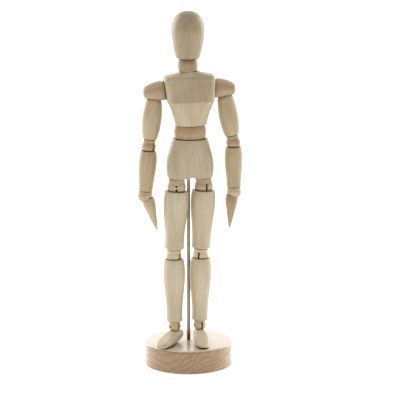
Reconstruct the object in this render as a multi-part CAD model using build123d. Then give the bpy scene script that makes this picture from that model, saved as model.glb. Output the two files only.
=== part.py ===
from build123d import *
from collections import namedtuple
from math import cos, radians, sin
import os

# A twelve-inch wooden artist's mannequin on a round stand.
# Millimetres. The origin is the middle of the stand's underside and +Z is up. The figure faces -Y,
# so its own left side is at +X. Each limb hangs from its upper pin along its own -Z.
SIDES = (("left", 1), ("right", -1))

# Stand
BASE_RADIUS = 37.5
BASE_HEIGHT = 20.0
BASE_TOP_EDGE = 2.4
BASE_BOTTOM_EDGE = 0.8
ROD_RADIUS = 1.5
ROD_FOOT = 4.0
ROD_TOP = 183.0
RUNNING_FIT = 0.05

# Figure: where its parts stand above the stand's underside
FIGURE_X = 1.5
FIGURE_Y = -6.8
PELVIS_TURN = 12.0
HIP_PIN_Z = 155.8
PELVIS_BOTTOM_Z = 163.8
PELVIS_TOP_Z = 197.0
WAIST_PIN_Z = 202.85
CHEST_TURN = 6.0
CHEST_ROLL = 2.0
CHEST_SHIFT = 1.0
HEAD_LEAN = 0.4
HEAD_TOP_Z = 304.2
HALF_HIP_SPAN = 11.7

# Distances between pins
THIGH = 59.6
SHIN = 61.3
UPPER_ARM = 36.1
FOREARM = 42.0
CHEST = 56.75

# How far each limb leans to the figure's right (-X) as it goes down, in degrees
LEAN = {
    "left_thigh": 2.4, "left_shin": 0.8, "left_upper_arm": -10.2, "left_forearm": -0.9,
    "right_thigh": 2.3, "right_shin": -0.4, "right_upper_arm": 6.4, "right_forearm": 4.5,
}

# Where each ball's slot faces, from the front towards the figure's left, in degrees
SLOT_FACES = {
    "left_hip": 20, "left_knee": -16, "left_ankle": 24, "left_elbow": 100, "left_wrist": 90,
    "right_hip": 0, "right_knee": 48, "right_ankle": 44, "right_elbow": 45, "right_wrist": 90,
}
FOOT_FACES = {"left": 8, "right": -28}
HAND_LEAN = {"left": 4.2, "right": -16.0}

# Joints
JOINT_GAP = 0.15
SEAT_GAP = 0.1
SLOT_WIDTH = 1.8
SLOT_ABOVE_PIN = 3.0
CUT = 100.0

# A ball: the radius of its round part and how many degrees that part rises above the pin, the drop
# from the pin to the next limb's rim, the rise to the flat top, the radius and rounding at that top,
# how far the slot reaches to each side of the axis, and the sides where the pin's hole opens
Ball = namedtuple("Ball", "radius sphere_rise rim top shoulder edge slot_reach open_sides")
BOTH_SIDES = (1, -1)
BACK_ONLY = (1,)
BALLS = {
    "hip": Ball(7.85, 25, 3.4, 7.7, 6.7, 1.6, CUT, BOTH_SIDES),
    "knee": Ball(6.65, 24, 2.6, 5.9, 6.1, 0.8, CUT, BACK_ONLY),
    "ankle": Ball(5.4, 25, 3.6, 4.3, 4.9, 0.8, CUT, BOTH_SIDES),
    "elbow": Ball(6.1, 34, 3.6, 6.5, 5.2, 0.8, CUT, BACK_ONLY),
    "wrist": Ball(6.3, 24, 3.2, 4.0, 5.8, 0.8, CUT, BACK_ONLY),
    "waist": Ball(13.6, 12, 6.0, 5.75, 13.2, 1.0, 6.8, BOTH_SIDES),
    "neck": Ball(8.55, 10, 4.9, 5.95, 7.85, 0.5, 5.2, BOTH_SIDES),
}

# A turned limb: its radius at the top, at its belly, where it narrows and at the bottom, the depths
# of the belly and of the narrow place below the upper pin, and the rounding of its two ends
Limb = namedtuple("Limb", "top belly narrow bottom belly_depth narrow_depth top_edge bottom_edge")
LIMBS = {
    "thigh": Limb(9.9, 10.45, 8.7, 8.3, 11.0, 36.0, 0.8, 1.8),
    "shin": Limb(8.3, 9.35, 7.6, 7.0, 15.5, 37.5, 0.7, 0.9),
    "forearm": Limb(6.9, 7.7, 6.8, 6.1, 15.7, 27.2, 0.8, 0.8),
}

# How far up a limb each ball's wire reaches before its head
SHANKS = {"thigh": 16.0, "shin": 18.0, "upper_arm": 10.0, "forearm": 12.0}

# The upper arm, with the dome that sits in the shoulder cap
DOME_RADIUS = 7.15
DOME_SHOWS = 4.6
DOME_SLOT = 10.4
UPPER_ARM_BELLY = 8.35
UPPER_ARM_BELLY_DEPTH = 12.5
UPPER_ARM_BOTTOM = 6.2
UPPER_ARM_EDGE = 0.8

# Shoulder caps: along each cap's own axis from its flat face on the chest
CAP_LENGTH = 18.8
CAP_RADIUS = 8.4
CAP_EDGE = 1.1
CAP_TILT = 6.3
CAP_ARM = 8.85
CAP_CUT = 6.1
SHOULDER_OUT = 20.25
SHOULDER_BACK = 4.8
SHOULDER_UP = 35.15
SHOULDER_SHANK = 14.0
SHOULDER_ANCHOR = 24.5

# The chest block's cross sections, each with its width, depth, set-back, height above the waist's
# pin and roundness, and the sections where one part of the block gives way to the next
CHEST_BOTTOM = (26.7, 26.7, 0.0, BALLS["waist"].rim, 0.98)
CHEST_FLANKS = [(29.6, 29.0, 0.0, 13.0, 0.8), (33.5, 31.0, 0.0, 19.8, 0.6)]
CHEST_RIDGE = (39.2, 33.0, 0.0, 26.4, 0.46)
CHEST_CORNERS = (43.0, 25.4, 2.6, 44.8, 0.46)
CHEST_CROWN = (40.2, 22.0, 2.4, 47.0, 0.5)
NECK_SEAT = (17.6, 16.8, 0.6, 49.9, 0.95)
CHEST_TOP = 50.7
CHEST_SHANK = 18.0
NECK_SHANK = 18.0

# The pelvis block's cross sections: width, depth, set-back, share of its height and roundness
PELVIS_SECTIONS = [
    (37.8, 23.0, 0.8, 0.0, 0.8),
    (39.6, 26.5, 0.8, 0.34, 0.85),
    (35.6, 28.5, 0.4, 0.68, 0.9),
    (29.4, 28.4, 0.0, 1.0, 0.98),
]
CROTCH_RADIUS = 2.6
CROTCH_DROP = 1.2
ANCHOR_Z = HIP_PIN_Z + 26.0
ANCHOR_REACH = HALF_HIP_SPAN + 3.0
ANCHOR_LENGTH = ANCHOR_REACH + 16.5
ANCHOR_SHANK = 4.0
HIP_SHANK = 13.0
WAIST_SHANK = 10.0

# The head's outline: its radius at each height above the neck's pin
HEAD_OUTLINE = [(10.1, 6.5), (12.05, 14.0), (13.3, 21.5), (14.0, 28.5), (12.3, 36.7), (10.1, 40.2)]
HEAD_EDGE = 1.6
HEAD_DEPTH = 1.1
HEAD_SHANK = 19.0

# Hands and feet
END_BORE = 1.7
END_NAIL_HALF = {"ankle": 4.4, "wrist": 3.0}
END_NAIL_DROP = {"ankle": 7.1, "wrist": 8.2}
# A foot's cross sections: distance ahead of the ankle's pin, width, and top and bottom heights
FOOT_SECTIONS = [
    (-10.4, 3.4, -6.2, -9.2),
    (-9.0, 7.0, -4.8, -11.2),
    (-6.4, 9.2, -3.9, -13.0),
    (-3.0, 10.2, -3.6, -14.0),
    (4.0, 11.6, -3.6, -14.2),
    (11.0, 12.8, -5.4, -14.2),
    (18.0, 12.4, -7.9, -14.2),
    (24.0, 9.6, -9.4, -14.0),
    (27.8, 4.6, -10.8, -13.2),
]
# A hand's cross sections: depth below the wrist's pin, thickness, breadth
HAND_SECTIONS = [
    (3.2, 9.8, 10.4),
    (6.0, 10.8, 12.4),
    (12.0, 9.0, 13.6),
    (20.0, 5.8, 12.4),
    (28.0, 2.6, 8.4),
    (31.2, 1.2, 4.4),
]
HAND_SHIFT = 1.5

# Pins, wires and springs
PIN_RADIUS = 0.7
PIN_RECESS = 1.2
RECESS_RADIUS = 1.0
WIRE_RADIUS = 0.3
EYE_RADIUS = 1.15
EYE_OFFSET = 0.4
HEAD_RADIUS = 1.0
HEAD_HEIGHT = 0.6
COIL_RADIUS = 1.7
COIL_PITCH = 1.3
CLOSING_HEIGHT = 0.5
CLOSING_HOLE = 0.65
SPRING_BORE = 2.3
WIRE_BORE = 1.2


def turned(outline):
    """The solid that an outline in the X-Z half plane makes when turned about Z."""
    return revolve(Plane.XZ * make_face(Curve() + outline), Axis.Z, 360)


def rod(radius, low, high):
    """A cylinder along Z from one height to another."""
    return Pos(0, 0, (low + high) / 2) * Cylinder(radius, high - low)


def wire(start, end):
    """A straight length of wire between two points."""
    run = Vector(*end) - Vector(*start)
    return Plane(origin=start, z_dir=run) * rod(WIRE_RADIUS, 0, run.length)


def along_x(solid):
    """Lays a solid that was made along Z along X instead."""
    return Rot(0, 90, 0) * solid


def pin(length):
    return along_x(Cylinder(PIN_RADIUS, length))


def nail_hole(half_length, open_sides):
    """The hole for a nail along X, which is sunk below the surface at each side where it opens."""
    hole = pin(2 * half_length)
    mouth = along_x(rod(RECESS_RADIUS, half_length, CUT))
    for side in open_sides:
        hole += Rot(0, 0, 90 - 90 * side) * mouth
    return hole


def eye():
    """A wire's eye around a pin along X."""
    return along_x(Torus(EYE_RADIUS, WIRE_RADIUS))


def wire_eye(side, length):
    """A wire bent to an eye around a pin along X, with a straight shank up to a flat head."""
    shank = wire((side * EYE_OFFSET, 0, EYE_RADIUS), (0, 0, length))
    head_end = rod(HEAD_RADIUS, length, length + HEAD_HEIGHT)
    return Pos(side * EYE_OFFSET, 0, 0) * eye() + shank + head_end


def end_hook(drop, turn):
    """A wire with two eyes: one on the pin at the origin, and one on a nail below it that is turned
    about the wire."""
    upper = Pos(EYE_OFFSET, 0, 0) * eye()
    lower = Pos(0, 0, -drop) * Rot(0, 0, turn) * eye()
    return upper + lower + wire((EYE_OFFSET, 0, -EYE_RADIUS), (0, 0, EYE_RADIUS - drop))


def spring(low, high):
    """A coil along Z between two heights, with a ring at each end that closes on a wire's head."""
    ring = Cylinder(COIL_RADIUS + WIRE_RADIUS, CLOSING_HEIGHT) - Cylinder(CLOSING_HOLE, 1)
    reach = CLOSING_HEIGHT / 2 + RUNNING_FIT
    path = Helix(COIL_PITCH, high - low - 2 * WIRE_RADIUS, COIL_RADIUS, center=(0, 0, low + WIRE_RADIUS))
    section = Plane(origin=path @ 0, z_dir=path % 0) * Circle(WIRE_RADIUS)
    coil = sweep(section, path=path, is_frenet=True)
    return [coil, Pos(0, 0, low - reach) * ring, Pos(0, 0, high + reach) * ring]


def ball(kind):
    """A ball with its pin along X at the origin: round below, where the next limb's cup slides on
    it, flat on top, where it turns on the limb above, and slotted for that limb's hook."""
    size = BALLS[kind]
    rise = size.radius * sin(radians(size.sphere_rise))
    width = size.radius * cos(radians(size.sphere_rise))
    flat = size.shoulder - size.edge
    blank = turned([
        CenterArc((0, 0), size.radius, -90, 90 + size.sphere_rise),
        Line((width, rise), (size.shoulder, size.top - size.edge)),
        CenterArc((flat, size.top - size.edge), size.edge, 0, 90),
        Polyline((flat, size.top), (0, size.top), (0, -size.radius)),
    ])
    slot = Pos(0, 0, SLOT_ABOVE_PIN - CUT / 2) * Box(SLOT_WIDTH, 2 * size.slot_reach, CUT)
    hole = nail_hole(size.radius - PIN_RECESS, size.open_sides)
    return blank - slot - rod(WIRE_BORE, 0, CUT) - hole


def pin_and_link(kind, length):
    """A ball's cross pin, and the wire on it that runs up through the ball to a spring above."""
    return [pin(2 * (BALLS[kind].radius - PIN_RECESS)), wire_eye(-1, length)]


def hook(length):
    """The wire that hangs the limb below on its upper pin."""
    return Rot(180, 0, 0) * wire_eye(1, length)


def upright_hook(length):
    """A hook like hook(), on a nail that stands upright once the wire is laid along a shoulder."""
    return Rot(0, 0, 90) * hook(length)


def limb_blank(size, top, bottom):
    """A turned limb between two depths below its upper pin."""
    low_flat = size.bottom - size.bottom_edge
    return turned([
        Polyline((0, -bottom), (0, -top), (size.top - size.top_edge, -top)),
        CenterArc((size.top - size.top_edge, -top - size.top_edge), size.top_edge, 0, 90),
        Spline(
            (size.top, -top - size.top_edge),
            (size.belly, -size.belly_depth),
            (size.narrow, -size.narrow_depth),
            (size.bottom, -bottom + size.bottom_edge),
        ),
        CenterArc((low_flat, -bottom + size.bottom_edge), size.bottom_edge, -90, 90),
        Line((low_flat, -bottom), (0, -bottom)),
    ])


def limb(kind, upper, lower, length, shank):
    """A limb from the ball above it to the ball below it, bored for its spring."""
    cup = BALLS[upper].radius + JOINT_GAP
    bottom = length - BALLS[lower].top - SEAT_GAP
    blank = limb_blank(LIMBS[kind], BALLS[upper].rim, bottom)
    return blank - Sphere(cup) - bores(length, shank)


def bores(length, shank):
    """The bore through a limb: wide round its spring and narrow round the wires at its ends."""
    play = 1.0
    return rod(WIRE_BORE, -length, 0) + rod(SPRING_BORE, shank - length - play, play - shank)


def limb_spring(length, shank):
    """A limb's spring, and the hook at its upper end."""
    return spring(shank - length, -shank) + [hook(shank)]


def upper_arm(length, shank):
    """The upper arm, whose domed top sits in the cap's socket and holds the shoulder's pin."""
    bottom = length - BALLS["elbow"].top - SEAT_GAP
    edge = UPPER_ARM_EDGE
    low_flat = UPPER_ARM_BOTTOM - edge
    blank = turned([
        CenterArc((0, 0), DOME_RADIUS, 0, 90),
        Spline(
            (DOME_RADIUS, 0),
            (UPPER_ARM_BELLY, -UPPER_ARM_BELLY_DEPTH),
            (UPPER_ARM_BOTTOM, -bottom + edge),
            tangents=[(0.2, -1), (-0.25, -1)],
        ),
        CenterArc((low_flat, -bottom + edge), edge, -90, 90),
        Polyline((low_flat, -bottom), (0, -bottom), (0, DOME_RADIUS)),
    ])
    slot = Pos(0, 0, CUT / 2 - 2) * Box(SLOT_WIDTH, DOME_SLOT, CUT)
    hole = nail_hole(DOME_RADIUS - PIN_RECESS, BACK_ONLY)
    return blank - bores(length, shank) - Rot(0, 0, 90) * (slot + hole)


def base():
    blank = Pos(0, 0, BASE_HEIGHT / 2) * Cylinder(BASE_RADIUS, BASE_HEIGHT)
    rim = blank.edges().filter_by(GeomType.CIRCLE).sort_by(Axis.Z)
    blank = fillet(rim[-1], BASE_TOP_EDGE)
    rim = blank.edges().filter_by(GeomType.CIRCLE).sort_by(Axis.Z)
    blank = fillet(rim[0], BASE_BOTTOM_EDGE)
    return blank - rod(ROD_RADIUS + RUNNING_FIT, ROD_FOOT, CUT)


def support_rod():
    blank = rod(ROD_RADIUS, ROD_FOOT, ROD_TOP)
    return chamfer(blank.edges().filter_by(GeomType.CIRCLE), 0.3)


def section(width, depth, back, up, roundness):
    """A rounded rectangle at a height, with squarer corners as the roundness falls."""
    corner = roundness * min(width, depth) / 2
    return Pos(0, back, up) * RectangleRounded(width, depth, corner)


def hip_points():
    return [(sign * HALF_HIP_SPAN, 0, HIP_PIN_Z) for sign in (-1, 1)]


def pelvis_frame():
    """The pelvis's frame: upright, turned on the rod, with its origin at the stand's underside."""
    return Pos(FIGURE_X, FIGURE_Y, 0) * Rot(0, 0, PELVIS_TURN)


def pelvis():
    """The pelvis block, in its own frame: X to its left, the waist's axis at the origin."""
    height = PELVIS_TOP_Z - PELVIS_BOTTOM_Z
    sections = [
        section(width, depth, back, PELVIS_BOTTOM_Z + share * height, roundness)
        for width, depth, back, share, roundness in PELVIS_SECTIONS
    ]
    block = loft(sections)
    block -= Pos(0, 0, PELVIS_BOTTOM_Z - CROTCH_DROP) * Rot(90, 0, 0) * Cylinder(CROTCH_RADIUS, CUT)
    for x, y, z in hip_points():
        seat = z + BALLS["hip"].top + SEAT_GAP
        block -= Pos(x, y, 0) * rod(BALLS["hip"].shoulder + 0.5, seat - 5, seat)
        block -= Pos(x, y, 0) * rod(WIRE_BORE, z, ANCHOR_Z + 2)
        block -= Pos(x, y, 0) * rod(SPRING_BORE, z + HIP_SHANK - 2, ANCHOR_Z + 2)
    block -= rod(WIRE_BORE, ANCHOR_Z - 2, WAIST_PIN_Z)
    block -= rod(SPRING_BORE, ANCHOR_Z - 2, WAIST_PIN_Z - WAIST_SHANK + 2)
    rod_spot = (pelvis_frame().inverse() * Pos(0, 0, 0)).position
    block -= Pos(*rod_spot) * rod(ROD_RADIUS + RUNNING_FIT, 0, ROD_TOP + SEAT_GAP)
    return block - anchor_bore()


def anchor_bore():
    """The hole for the cross nail that the pelvis springs hook on, open on the figure's left."""
    return Pos(-ANCHOR_REACH, 0, ANCHOR_Z) * along_x(rod(PIN_RADIUS, 0, CUT))


def pelvis_springs():
    """The waist's and hips' springs, their end hooks, and the cross nail that holds them."""
    nail = Pos(-ANCHOR_REACH, 0, ANCHOR_Z) * along_x(rod(PIN_RADIUS, 0, ANCHOR_LENGTH))
    pieces = [nail]
    for x, y, z in hip_points():
        rise = ANCHOR_Z - z
        coil = spring(HIP_SHANK, rise - ANCHOR_SHANK) + [Pos(0, 0, rise) * hook(ANCHOR_SHANK)]
        pieces += [Pos(x, y, z) * piece for piece in coil]
    drop = WAIST_PIN_Z - ANCHOR_Z
    waist_coil = spring(ANCHOR_SHANK, drop - WAIST_SHANK) + [wire_eye(1, ANCHOR_SHANK)]
    pieces += [Pos(0, 0, ANCHOR_Z) * piece for piece in waist_coil]
    return pieces


def shoulder_frame(sign):
    """The frame of a shoulder's cap inside the chest's frame: +Z points into the chest."""
    out = Pos(CHEST_SHIFT + sign * SHOULDER_OUT, SHOULDER_BACK, SHOULDER_UP)
    return out * Rot(0, sign * (CAP_TILT - 90), 0)


def chest():
    """The chest block, with the waist's pin at the origin and +Z up the spine."""
    corners = section(*CHEST_CORNERS)
    ridge = section(*CHEST_RIDGE)
    crown = section(*CHEST_CROWN)
    seat = section(*NECK_SEAT)
    flanks = [section(*sizes) for sizes in CHEST_FLANKS]
    block = loft([section(*CHEST_BOTTOM)] + flanks + [ridge])
    block += loft([ridge, corners], ruled=True) + loft([corners, crown], ruled=True)
    block += loft([crown, seat], ruled=True) + extrude(seat, CHEST_TOP - NECK_SEAT[3])
    block = Pos(CHEST_SHIFT, 0, 0) * block
    block -= Sphere(BALLS["waist"].radius + JOINT_GAP)
    block -= rod(WIRE_BORE, 0, CHEST)
    block -= rod(SPRING_BORE, CHEST_SHANK - 1, CHEST - NECK_SHANK + 1)
    for sign in (-1, 1):
        frame = shoulder_frame(sign)
        block -= frame * rod(CAP_RADIUS + 0.6, -8, 0)
        block -= frame * rod(SPRING_BORE, SHOULDER_SHANK - CAP_ARM - 2, SHOULDER_ANCHOR - CAP_ARM + 2)
        block -= frame * rod(WIRE_BORE, -1, SHOULDER_ANCHOR - CAP_ARM)
        block -= shoulder_anchor(sign) * rod(PIN_RADIUS, -4, CUT)
    return block


def shoulder_anchor(sign):
    """Where a shoulder's upright anchor nail crosses its spring's axis."""
    point = (shoulder_frame(sign) * Pos(0, 0, SHOULDER_ANCHOR - CAP_ARM)).position
    return Pos(*point)


def chest_springs():
    """The spine's and shoulders' springs, the hook on the waist's pin, and two anchor nails."""
    pieces = spring(CHEST_SHANK, CHEST - NECK_SHANK)
    pieces.append(wire_eye(1, CHEST_SHANK))
    for sign in (-1, 1):
        nail = shoulder_anchor(sign) * rod(PIN_RADIUS, -4, CHEST_TOP - SHOULDER_UP - 3)
        pieces.append(nail)
        arm = shoulder_frame(sign) * Pos(0, 0, -CAP_ARM)
        coil = spring(SHOULDER_SHANK, SHOULDER_ANCHOR - ANCHOR_SHANK)
        anchor = Pos(0, 0, SHOULDER_ANCHOR) * upright_hook(ANCHOR_SHANK)
        pieces += [arm * piece for piece in coil + [anchor]]
    return pieces


def shoulder_cap(arm_frame):
    """A shoulder cap in its own frame, cut flat and socketed for the arm in arm_frame."""
    blank = turned([
        Polyline((0, -CAP_LENGTH), (0, 0), (CAP_RADIUS - CAP_EDGE, 0)),
        Spline(
            (CAP_RADIUS - CAP_EDGE, 0),
            (CAP_RADIUS, -0.34 * CAP_LENGTH),
            (0.74 * CAP_RADIUS, -0.8 * CAP_LENGTH),
            (0, -CAP_LENGTH),
            tangents=[(0.7, -1), (-1, 0)],
        ),
    ])
    below = arm_frame * Pos(0, 0, DOME_SHOWS - CUT / 2) * Box(CUT, CUT, CUT)
    socket = arm_frame * Sphere(DOME_RADIUS + JOINT_GAP)
    down = arm_frame * rod(WIRE_BORE, 0, CAP_CUT + DOME_SHOWS + 1)
    across = rod(WIRE_BORE, -CAP_ARM - 1, CUT)
    return blank - below - socket - down - across


def shoulder_link(arm_frame):
    """The bent wire from the arm's pin up into the cap and across to the chest, in the cap's frame."""
    corner = (0, 0, -CAP_ARM)
    end = (0, 0, SHOULDER_SHANK - CAP_ARM)
    eye_frame = arm_frame * Rot(0, 0, 90) * Pos(-EYE_OFFSET, 0, 0)
    eye_top = (eye_frame * Pos(0, 0, EYE_RADIUS)).position
    link = eye_frame * eye() + wire(tuple(eye_top), corner) + Pos(*corner) * Sphere(WIRE_RADIUS)
    return link + wire(corner, end) + rod(HEAD_RADIUS, end[2], end[2] + HEAD_HEIGHT)


def head(neck_pin_z):
    """The faceless egg-shaped head, upright on the neck, with the neck's pin at the origin."""
    bottom = BALLS["neck"].rim
    top = HEAD_TOP_Z - neck_pin_z
    flat = HEAD_OUTLINE[0][0] - HEAD_EDGE
    egg = turned([
        Polyline((0, top), (0, bottom), (flat, bottom)),
        CenterArc((flat, bottom + HEAD_EDGE), HEAD_EDGE, -90, 90),
        Spline(*HEAD_OUTLINE, (0, top), tangents=[(0.3, 1), (-1, 0)]),
    ])
    egg = scale(egg, by=(1, HEAD_DEPTH, 1))
    return egg - Sphere(BALLS["neck"].radius + JOINT_GAP) - rod(WIRE_BORE, 0, HEAD_SHANK + 1)


def block_section(width, top, bottom):
    """A rounded rectangle that is centred across and runs between two heights."""
    corner = 0.46 * min(width, top - bottom)
    return Pos(0, (top + bottom) / 2) * RectangleRounded(width, top - bottom, corner)


def foot(outward):
    """A foot with the ankle's pin at the origin and its toe towards -Y."""
    sections = [
        Plane((0, -ahead, 0), x_dir=(1, 0, 0), z_dir=(0, -1, 0)) * block_section(width, top, bottom)
        for ahead, width, top, bottom in FOOT_SECTIONS
    ]
    return loft(sections) - Sphere(BALLS["ankle"].radius + JOINT_GAP) - end_bores("ankle", outward)


def end_bores(joint, outward):
    """The bore for a hand's or foot's end hook, and the hole for its cross nail, open outwards."""
    drop = END_NAIL_DROP[joint]
    hole = nail_hole(END_NAIL_HALF[joint], (outward,))
    return rod(END_BORE, -drop - 2, 0) + Pos(0, 0, -drop) * hole


def end_hook_and_nail(joint, turn):
    """A hand's or foot's wire and its cross nail, which is turned from the pin above."""
    drop = END_NAIL_DROP[joint]
    nail = Pos(0, 0, -drop) * Rot(0, 0, turn) * pin(2 * END_NAIL_HALF[joint])
    return [end_hook(drop, turn), nail]


def hand(outward):
    """A flat hand with the wrist's pin at the origin, its edge to the front."""
    sections = [
        Pos(-outward * HAND_SHIFT, 0, -depth) * RectangleRounded(thick, broad, 0.45 * thick)
        for depth, thick, broad in HAND_SECTIONS
    ]
    return loft(sections) - Sphere(BALLS["wrist"].radius + JOINT_GAP) - end_bores("wrist", outward)


def below(frame, length, lean, turn=0.0):
    """The frame of the next limb down: its upper pin is at a distance down this limb's axis."""
    point = (frame * Pos(0, 0, -length)).position
    return Pos(*point) * Rot(0, lean, 0) * Rot(0, 0, turn)


def ball_frame(frame, length, turn):
    """The frame of the ball at a limb's lower end, with its pin along its own X."""
    return frame * Pos(0, 0, -length) * Rot(0, 0, turn)


def slot_turn(frame, joint):
    """A limb's frame turned about its own axis, so that its hook lies in the slot of the ball above."""
    return frame * Rot(0, 0, SLOT_FACES[joint])


def place_trunk(frames):
    """Frames of the pelvis, waist, chest, neck and head."""
    frames["pelvis"] = pelvis_frame()
    waist_pin = Pos(FIGURE_X, FIGURE_Y, WAIST_PIN_Z)
    frames["waist"] = waist_pin * Rot(180, 0, 0)
    frames["chest"] = waist_pin * Rot(0, 0, CHEST_TURN) * Rot(0, -CHEST_ROLL, 0)
    neck_pin = frames["chest"] * Pos(0, 0, CHEST)
    frames["neck"] = neck_pin * Rot(180, 0, 0)
    frames["head"] = Pos(*neck_pin.position) * Rot(0, 0, CHEST_TURN) * Rot(0, HEAD_LEAN, 0)


def place_leg(frames, side, sign):
    """Frames of one leg, from the hip down."""
    hip = frames["pelvis"] * Pos(sign * HALF_HIP_SPAN, 0, HIP_PIN_Z)
    upright = Pos(*hip.position)
    thigh = upright * Rot(0, LEAN[f"{side}_thigh"], 0)
    shin = below(thigh, THIGH, LEAN[f"{side}_shin"])
    frames[f"{side}_hip"] = upright * Rot(0, 0, SLOT_FACES[f"{side}_hip"])
    frames[f"{side}_thigh"] = thigh
    frames[f"{side}_knee"] = ball_frame(thigh, THIGH, SLOT_FACES[f"{side}_knee"])
    frames[f"{side}_shin"] = shin
    frames[f"{side}_ankle"] = ball_frame(shin, SHIN, SLOT_FACES[f"{side}_ankle"])
    frames[f"{side}_foot"] = below(shin, SHIN, 0, FOOT_FACES[side])


def place_arm(frames, side, sign):
    """Frames of one arm, from the shoulder down."""
    shoulder = frames["chest"] * shoulder_frame(sign)
    root = Pos(*(shoulder * Pos(0, 0, -CAP_ARM)).position)
    upper = root * Rot(0, LEAN[f"{side}_upper_arm"], 0) * Pos(0, 0, -CAP_CUT - DOME_SHOWS)
    fore = below(upper, UPPER_ARM, LEAN[f"{side}_forearm"])
    frames[f"{side}_shoulder"] = shoulder
    frames[f"{side}_upper_arm"] = upper
    frames[f"{side}_elbow"] = ball_frame(upper, UPPER_ARM, SLOT_FACES[f"{side}_elbow"])
    frames[f"{side}_forearm"] = fore
    frames[f"{side}_wrist"] = ball_frame(fore, FOREARM, SLOT_FACES[f"{side}_wrist"])
    frames[f"{side}_hand"] = below(fore, FOREARM, HAND_LEAN[side])


def place_all():
    """Every part's frame, by the part's name."""
    frames = {}
    place_trunk(frames)
    for side, sign in SIDES:
        place_leg(frames, side, sign)
        place_arm(frames, side, sign)
    return frames


def trunk_nodes(frames):
    """The stand, the rod, and the blocks and wires of the trunk."""
    return {
        "base": [base()],
        "support_rod": [support_rod()],
        "pelvis": [frames["pelvis"] * pelvis()],
        "pelvis_springs": [frames["pelvis"] * piece for piece in pelvis_springs()],
        "waist": [frames["waist"] * ball("waist")],
        "waist_pin_and_link": [frames["waist"] * piece for piece in pin_and_link("waist", WAIST_SHANK)],
        "chest": [frames["chest"] * chest()],
        "chest_springs": [frames["chest"] * piece for piece in chest_springs()],
        "neck": [frames["neck"] * ball("neck")],
        "neck_pin_and_link": [frames["neck"] * piece for piece in pin_and_link("neck", NECK_SHANK)],
        "head": [frames["head"] * head(frames["head"].position.Z)],
        "head_hook": [frames["head"] * wire_eye(1, HEAD_SHANK)],
    }


def ball_nodes(frames, side, kind, shank):
    """A limb's ball, and its pin with the wire that goes up into the limb above."""
    name = f"{side}_{kind}"
    return {
        name: [frames[name] * ball(kind)],
        f"{name}_pin_and_link": [frames[name] * piece for piece in pin_and_link(kind, shank)],
    }


def end_nodes(frames, side, kind, joint, solid):
    """A hand or a foot with the wire and nail that hold it on."""
    name = f"{side}_{kind}"
    own_turn = FOOT_FACES[side] if kind == "foot" else 0
    wire_turn = SLOT_FACES[f"{side}_{joint}"] - own_turn
    wires = end_hook_and_nail(joint, -wire_turn)
    return {
        name: [frames[name] * solid],
        f"{name}_hook": [frames[name] * Rot(0, 0, wire_turn) * piece for piece in wires],
    }


def limb_nodes(frames, side, kind, upper, lower, length):
    """A turned limb between two balls, with its spring."""
    name = f"{side}_{kind}"
    shank = SHANKS[kind]
    wires = slot_turn(frames[name], f"{side}_{upper}")
    return {
        name: [frames[name] * limb(kind, upper, lower, length, shank)],
        f"{name}_spring": [wires * piece for piece in limb_spring(length, shank)],
    }


def leg_nodes(frames, side, sign):
    return {
        **ball_nodes(frames, side, "hip", HIP_SHANK),
        **limb_nodes(frames, side, "thigh", "hip", "knee", THIGH),
        **ball_nodes(frames, side, "knee", SHANKS["thigh"]),
        **limb_nodes(frames, side, "shin", "knee", "ankle", SHIN),
        **ball_nodes(frames, side, "ankle", SHANKS["shin"]),
        **end_nodes(frames, side, "foot", "ankle", foot(sign)),
    }


def arm_nodes(frames, side, sign):
    shoulder, upper = frames[f"{side}_shoulder"], frames[f"{side}_upper_arm"]
    arm_frame = shoulder.inverse() * upper
    shank = SHANKS["upper_arm"]
    across = upper * Rot(0, 0, 90)
    wires = limb_spring(UPPER_ARM, shank) + [pin(2 * (DOME_RADIUS - PIN_RECESS))]
    return {
        f"{side}_shoulder": [shoulder * shoulder_cap(arm_frame)],
        f"{side}_shoulder_link": [shoulder * shoulder_link(arm_frame)],
        f"{side}_upper_arm": [upper * upper_arm(UPPER_ARM, shank)],
        f"{side}_upper_arm_spring": [across * piece for piece in wires],
        **ball_nodes(frames, side, "elbow", shank),
        **limb_nodes(frames, side, "forearm", "elbow", "wrist", FOREARM),
        **ball_nodes(frames, side, "wrist", SHANKS["forearm"]),
        **end_nodes(frames, side, "hand", "wrist", hand(sign)),
    }


FRAMES = place_all()
NODES = trunk_nodes(FRAMES)
for side_name, side_sign in SIDES:
    NODES.update(leg_nodes(FRAMES, side_name, side_sign))
    NODES.update(arm_nodes(FRAMES, side_name, side_sign))

os.makedirs("parts", exist_ok=True)
for node_name, pieces in NODES.items():
    solids = [solid for piece in pieces for solid in piece.solids()]
    export_step(Compound(solids), f"parts/{node_name}.step")
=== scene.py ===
import math
import random

import bpy
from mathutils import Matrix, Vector


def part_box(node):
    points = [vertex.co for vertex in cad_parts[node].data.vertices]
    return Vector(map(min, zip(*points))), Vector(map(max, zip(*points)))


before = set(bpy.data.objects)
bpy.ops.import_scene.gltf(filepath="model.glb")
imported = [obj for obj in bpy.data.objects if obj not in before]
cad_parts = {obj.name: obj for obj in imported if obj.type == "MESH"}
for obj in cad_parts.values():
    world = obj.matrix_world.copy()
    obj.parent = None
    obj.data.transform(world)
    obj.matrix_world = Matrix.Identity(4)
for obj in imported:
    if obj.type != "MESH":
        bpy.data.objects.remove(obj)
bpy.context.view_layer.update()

MM = 0.001

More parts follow.
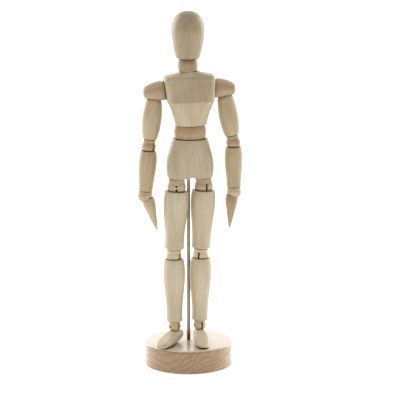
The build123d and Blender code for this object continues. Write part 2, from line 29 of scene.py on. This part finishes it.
# Wood colours, as red, green and blue from 0 to 255 on screen, by the last word of a piece's name,
# or by its whole name where the left and right pieces differ.
WOODS = {
    "head": (174, 156, 124),
    "neck": (176, 149, 112),
    "chest": (200, 182, 150),
    "shoulder": (185, 161, 127),
    "arm": (198, 178, 141),
    "elbow": (192, 163, 121),
    "forearm": (195, 174, 137),
    "wrist": (204, 181, 149),
    "left_hand": (188, 163, 127),
    "right_hand": (212, 193, 162),
    "waist": (182, 154, 116),
    "pelvis": (191, 175, 145),
    "hip": (211, 186, 152),
    "thigh": (212, 196, 166),
    "knee": (224, 205, 170),
    "shin": (214, 199, 169),
    "ankle": (226, 198, 160),
    "foot": (230, 214, 184),
    "base": (194, 158, 112),
}
# The stand's paler top colour is a painted reflection of the white surroundings.
STAND_TOP_PAINTED_REFLECTION = (226, 208, 184)
# Dark brown painted into seams, slots and pin ends as painted shade.
SEAM_PAINTED_SHADE = (70, 44, 22)
WIRE_STEEL = (58, 46, 34)
ROD_STEEL = (172, 166, 154)
# The brown painted on the rod's foot, a painted reflection of the stand's wood.
ROD_PAINTED_REFLECTION = (112, 82, 60)

# End grain multiplies the wood's linear colour by this red, green, blue and alpha.
END_GRAIN = (0.8, 0.76, 0.68, 1.0)

# How far the middle of the tree was from the frame's origin, in mm, once the stand's grain is upright.
STAND_PITH = (60, 80, 40)

# In mm: the gap between growth rings, how far they wander, and how near surfaces must be for painted
# shade in a seam.
RING_GAP = 2.6
STAND_RING_GAP = 4.2
RING_WANDER = 22.0
PAINTED_SHADE_REACH = 1.8

# The height where the rod's painted reflection of the stand fades out, in metres.
ROD_REFLECTION_TOP = 28 * MM

# Which pieces have upright grain, and the way the grain runs in the stand, feet and caps.
TURNED_BALLS = ("neck", "waist", "hip", "knee", "ankle", "elbow", "wrist")
UPRIGHT_BLOCKS = ("head", "chest", "pelvis")
STAND_GRAIN = Vector((0.25, 1, 0.05))
FOOT_GRAIN = Vector((0, 1, 0.1))
CAP_GRAIN = Vector((1, 0, 0))
UPRIGHT = Vector((0, 0, 1))

# The camera, in mm, with its tilt in degrees and its lens and sensor in mm.
CAMERA_PLACE = (9.8, -1577, 454)
CAMERA_TILT = 78.835
LENS = 170.3
SENSOR = 36

# The white surroundings' strength in front of the figure, behind it, and as the camera sees them.
FRONT_GLOW = 0.25
BACK_GLOW = 1.25
SEEN_GLOW = 1.2

# Softboxes: name, place and aim in metres, size in metres, and power in watts.
SOFTBOXES = (
    ("top", (-0.3, -0.5, 1.3), (0, 0, 0.15), (0.8, 0.8), 2.6),
    ("left_back", (-0.9, 0.7, 0.5), (0, 0, 0.16), (0.6, 1.0), 5),
    ("right_back", (0.9, 0.7, 0.5), (0, 0, 0.16), (0.6, 1.0), 4.5),
)

# The floor: its side in metres, its drop below the stand in mm, its grey and its own glow.
FLOOR_SIDE = 8
FLOOR_DROP = 0.2
FLOOR_GREY = 0.8
FLOOR_ROUGHNESS = 0.7
FLOOR_GLOW = 0.6


def linear(colour):
    """The linear colour that shows as this one on screen."""
    out = []
    for value in colour:
        v = value / 255
        out.append(v / 12.92 if v <= 0.04045 else ((v + 0.055) / 1.055) ** 2.4)
    return (*out, 1.0)


class Nodes:
    """A material's or world's node tree, with short ways to add and join nodes."""

    def __init__(self, tree):
        self.tree = tree
        tree.nodes.clear()

    def put(self, socket, value):
        """Sets a socket to a number or colour, or joins another node's output to it."""
        if isinstance(value, bpy.types.NodeSocket):
            self.tree.links.new(value, socket)
        else:
            socket.default_value = value

    def add(self, kind, output=0, settings=None, **inputs):
        """Adds a node and gives one of its outputs. Inputs are named i0, i1 and so on, or by name."""
        node = self.tree.nodes.new(kind)
        for name, value in (settings or {}).items():
            setattr(node, name, value)
        for name, value in inputs.items():
            key = int(name[1:]) if name[0] == "i" and name[1:].isdigit() else name.replace("_", " ")
            self.put(node.inputs[key], value)
        return node.outputs[output]

    def math(self, operation, *values):
        inputs = {f"i{k}": v for k, v in enumerate(values)}
        return self.add("ShaderNodeMath", settings={"operation": operation}, **inputs)

    def vector(self, operation, *values, output=0):
        inputs = {f"i{k}": v for k, v in enumerate(values)}
        return self.add("ShaderNodeVectorMath", output, {"operation": operation}, **inputs)

    def step(self, value, low, high):
        """0 below low, 1 above high, and smooth between."""
        return self.add(
            "ShaderNodeMapRange",
            settings={"interpolation_type": "SMOOTHSTEP"},
            Value=value,
            From_Min=low,
            From_Max=high,
        )

    def mix(self, share, first, second, blend="MIX"):
        """Two colours mixed: all first at 0, all second at 1."""
        node = self.tree.nodes.new("ShaderNodeMix")
        node.data_type = "RGBA"
        node.blend_type = blend
        self.put(node.inputs[0], share)
        self.put(node.inputs[6], first)
        self.put(node.inputs[7], second)
        return node.outputs[2]

    def noise(self, place, scale, detail=3.0, roughness=0.5):
        return self.add(
            "ShaderNodeTexNoise",
            settings={"noise_dimensions": "3D"},
            Vector=place,
            Scale=scale,
            Detail=detail,
            Roughness=roughness,
        )


def shaded(colour, share):
    """A colour darkened to this share of its brightness, and a little warmer."""
    r, g, b, _ = linear(colour)
    return (r * share, g * share ** 1.18, b * share ** 1.5, 1.0)


def wood(
    name,
    colour,
    axis,
    seed,
    ring_gap=RING_GAP,
    ring_depth=0.16,
    gloss=0.25,
    haze=0.18,
    painted_reflection_colour=None,
    pith=None,
):
    """Satin-varnished pale hardwood with its grain along axis, and upward faces painted a paler colour
    as a painted reflection, where one is given.
    """
    luck = random.Random(seed)
    material = bpy.data.materials.new(name)
    material.use_nodes = True
    n = Nodes(material.node_tree)
    coords = n.tree.nodes.new("ShaderNodeTexCoord")
    place, normal = coords.outputs["Object"], coords.outputs["Normal"]

    # place in mm, turned so that the grain runs along z, each piece from its own part of the plank
    turn = axis.normalized().rotation_difference(UPRIGHT).to_euler()
    away = (luck.uniform(26, 60), luck.uniform(-20, 20), luck.uniform(-500, 500))
    mapped = n.add(
        "ShaderNodeMapping",
        settings={"vector_type": "POINT"},
        Vector=place,
        Rotation=turn,
        Scale=(1 / MM, 1 / MM, 1 / MM),
        Location=pith or away,
    )
    slow = n.vector("MULTIPLY", mapped, (1.0, 1.0, 0.22))
    fibre_place = n.vector("MULTIPLY", mapped, (1.0, 1.0, 0.035))
    fleck_place = n.vector("MULTIPLY", mapped, (1.0, 1.0, 0.16))

    # growth rings, bent by a slow noise
    bend = n.noise(slow, 0.045, 2.0)
    flat = n.vector("MULTIPLY", mapped, (1.0, 1.0, 0.0))
    radius = n.vector("LENGTH", flat, output=1)
    bent = n.math("MULTIPLY_ADD", bend, RING_WANDER, radius)
    ring = n.math("FRACT", n.math("DIVIDE", bent, ring_gap))
    late = n.math("SUBTRACT", n.step(ring, 0.25, 0.9), n.step(ring, 0.92, 1.0))

    fibre = n.noise(fibre_place, 1.1, 5.0, 0.6)
    fine = n.noise(fibre_place, 4.5, 3.0, 0.6)
    cloud = n.noise(slow, 0.11, 3.0, 0.55)
    fleck = n.step(n.noise(fleck_place, 2.6, 1.0), 0.66, 0.74)

    dark = shaded(colour, 0.66)
    warm = shaded(colour, 0.84)
    light = linear(colour)
    tint = n.mix(n.step(cloud, 0.35, 0.7), light, warm)
    amount = n.math("MULTIPLY", late, ring_depth)
    amount = n.math("MULTIPLY_ADD", n.step(fibre, 0.3, 0.75), 0.20, amount)
    amount = n.math("MULTIPLY_ADD", n.step(fine, 0.45, 0.8), 0.10, amount)
    amount = n.math("MULTIPLY_ADD", fleck, 0.22, amount)
    body = n.mix(amount, tint, dark)

    # end grain drinks more varnish and is darker
    across = n.vector("DOT_PRODUCT", normal, axis.normalized(), output=1)
    end = n.step(n.math("ABSOLUTE", across), 0.25, 0.95)
    body = n.mix(end, body, END_GRAIN, "MULTIPLY")

    # painted reflection: faces turned upward are painted paler, standing in for the white surroundings
    # reflected in a glossy top
    if painted_reflection_colour:
        up = n.add("ShaderNodeSeparateXYZ", 2, Vector=normal)
        body = n.mix(n.step(up, 0.3, 0.95), body, linear(painted_reflection_colour))

    # painted shade: seams, slots and pin ends are darkened towards a dark brown wherever other surfaces
    # are near
    openness = n.add(
        "ShaderNodeAmbientOcclusion",
        1,
        {"samples": 6, "only_local": False},
        Distance=PAINTED_SHADE_REACH * MM,
    )
    painted_shade = n.step(openness, 0.68, 0.28)
    body = n.mix(painted_shade, body, linear(SEAM_PAINTED_SHADE))

    height = n.math("MULTIPLY_ADD", fibre, 0.6, n.math("MULTIPLY", fine, 0.4))
    bump = n.add("ShaderNodeBump", Strength=0.12, Distance=0.08 * MM, Height=height)
    rough = n.math("MULTIPLY_ADD", fibre, 0.14, 0.36)
    shader = n.tree.nodes.new("ShaderNodeBsdfPrincipled")
    n.put(shader.inputs["Base Color"], body)
    n.put(shader.inputs["Roughness"], rough)
    n.put(shader.inputs["Normal"], bump)
    n.put(shader.inputs["Coat Weight"], gloss)
    n.put(shader.inputs["Coat Roughness"], haze)
    out = n.tree.nodes.new("ShaderNodeOutputMaterial")
    n.put(out.inputs["Surface"], shader.outputs[0])
    return material


def steel(name, colour, roughness, reflection_top=None):
    """Drawn steel with fine lines along it, painted brown below a given height where it enters the
    stand, a painted reflection of the stand's wood.
    """
    material = bpy.data.materials.new(name)
    material.use_nodes = True
    n = Nodes(material.node_tree)
    coords = n.tree.nodes.new("ShaderNodeTexCoord")
    place = coords.outputs["Object"]
    lines = n.noise(n.vector("MULTIPLY", place, (6000.0, 6000.0, 60.0)), 1.0, 2.0)
    spots = n.noise(n.vector("MULTIPLY", place, (900.0, 900.0, 260.0)), 1.0, 4.0)
    body = n.mix(n.step(lines, 0.35, 0.7), linear(colour), shaded(colour, 0.72))
    body = n.mix(n.step(spots, 0.58, 0.75), body, shaded(colour, 0.6))
    # painted reflection: the rod's foot is painted the stand's brown, with a ragged edge
    if reflection_top:
        z = n.add("ShaderNodeSeparateXYZ", 2, Vector=place)
        ragged = n.math("MULTIPLY_ADD", spots, 4 * MM, z)
        low = n.step(ragged, reflection_top + 3 * MM, reflection_top - 2 * MM)
        body = n.mix(low, body, linear(ROD_PAINTED_REFLECTION))
    shader = n.tree.nodes.new("ShaderNodeBsdfPrincipled")
    n.put(shader.inputs["Base Color"], body)
    n.put(shader.inputs["Metallic"], 1.0)
    n.put(shader.inputs["Roughness"], n.math("MULTIPLY_ADD", lines, 0.2, roughness))
    out = n.tree.nodes.new("ShaderNodeOutputMaterial")
    n.put(out.inputs["Surface"], shader.outputs[0])
    return material


def middle(points):
    return sum(points, Vector()) / len(points)


def long_axis(node):
    """The direction from the middle of a CAD node's lowest third to the middle of its top third."""
    points = [v.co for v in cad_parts[node].data.vertices]
    low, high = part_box(node)
    third = (high.z - low.z) / 3
    top = [p for p in points if p.z > high.z - third]
    bottom = [p for p in points if p.z < low.z + third]
    return (middle(top) - middle(bottom)).normalized()


def paint(node, material):
    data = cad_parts[node].data
    data.materials.clear()
    data.materials.append(material)


def grain(node, kind):
    """The way a piece's grain runs: along a limb, foot or cap, and upright in a ball or block."""
    if kind == "foot":
        return FOOT_GRAIN
    if kind == "shoulder":
        return CAP_GRAIN
    if kind in TURNED_BALLS or kind in UPRIGHT_BLOCKS:
        return UPRIGHT
    return long_axis(node)


def stand_wood(seed):
    """The stand's wood: wide strong rings, a glossy coat and a top painted pale as a painted
    reflection.
    """
    return wood(
        "base",
        WOODS["base"],
        STAND_GRAIN,
        seed,
        ring_gap=STAND_RING_GAP,
        ring_depth=0.7,
        gloss=1.0,
        haze=0.1,
        painted_reflection_colour=STAND_TOP_PAINTED_REFLECTION,
        pith=STAND_PITH,
    )


def dress():
    """Gives every CAD node its material."""
    wire = steel("steel_wire", WIRE_STEEL, 0.6)
    rod = steel("steel_rod", ROD_STEEL, 0.28, reflection_top=ROD_REFLECTION_TOP)
    for seed, node in enumerate(sorted(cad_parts)):
        kind = node.split("_")[-1]
        colour = WOODS.get(node, WOODS.get(kind))
        if kind == "rod":
            paint(node, rod)
        elif kind == "base":
            paint(node, stand_wood(seed))
        elif colour:
            paint(node, wood(node, colour, grain(node, kind), seed))
        else:
            paint(node, wire)


def camera():
    """The camera stands in front of the figure, above its head, and looks slightly down."""
    data = bpy.data.cameras.new("camera")
    data.sensor_width = SENSOR
    data.lens = LENS
    data.clip_end = 50
    eye = bpy.data.objects.new("camera", data)
    eye.location = [length * MM for length in CAMERA_PLACE]
    eye.rotation_euler = (math.radians(CAMERA_TILT), 0, 0)
    bpy.context.scene.collection.objects.link(eye)
    bpy.context.scene.camera = eye


def softbox(name, place, target, size, power):
    data = bpy.data.lights.new(name, "AREA")
    data.shape = "RECTANGLE"
    data.size, data.size_y = size
    data.energy = power
    lamp = bpy.data.objects.new(name, data)
    lamp.location = place
    lamp.rotation_euler = (Vector(target) - Vector(place)).to_track_quat("-Z", "Y").to_euler()
    bpy.context.scene.collection.objects.link(lamp)


def surroundings():
    """White all round: bright behind and at the sides, dimmer in front."""
    scene = bpy.context.scene
    scene.view_settings.view_transform = "Standard"
    world = bpy.data.worlds.new("studio")
    world.use_nodes = True
    scene.world = world
    n = Nodes(world.node_tree)
    way = n.add("ShaderNodeTexCoord", 0)
    y = n.add("ShaderNodeSeparateXYZ", 1, Vector=way)
    strength = n.add(
        "ShaderNodeMapRange",
        settings={"interpolation_type": "SMOOTHSTEP"},
        Value=y,
        From_Min=-0.75,
        From_Max=0.55,
        To_Min=FRONT_GLOW,
        To_Max=BACK_GLOW,
    )
    seen = n.add("ShaderNodeLightPath", 0)
    strength = n.add("ShaderNodeMapRange", Value=seen, To_Min=strength, To_Max=SEEN_GLOW)
    back = n.add("ShaderNodeBackground", Color=(1, 1, 1, 1), Strength=strength)
    out = n.tree.nodes.new("ShaderNodeOutputWorld")
    n.put(out.inputs["Surface"], back)


def white_floor():
    bpy.ops.mesh.primitive_plane_add(size=FLOOR_SIDE, location=(0, 0, -FLOOR_DROP * MM))
    floor = bpy.context.object
    floor.name = "floor"
    material = bpy.data.materials.new("floor")
    material.use_nodes = True
    n = Nodes(material.node_tree)
    shader = n.tree.nodes.new("ShaderNodeBsdfPrincipled")
    shader.inputs["Base Color"].default_value = (FLOOR_GREY, FLOOR_GREY, FLOOR_GREY, 1)
    shader.inputs["Roughness"].default_value = FLOOR_ROUGHNESS
    shader.inputs["Emission Color"].default_value = (1, 1, 1, 1)
    shader.inputs["Emission Strength"].default_value = FLOOR_GLOW
    out = n.tree.nodes.new("ShaderNodeOutputMaterial")
    n.put(out.inputs["Surface"], shader.outputs[0])
    floor.data.materials.append(material)


def studio():
    """A white studio on a white floor."""
    surroundings()
    for name, place, target, size, power in SOFTBOXES:
        softbox(name, place, target, size, power)
    white_floor()


dress()
camera()
studio()
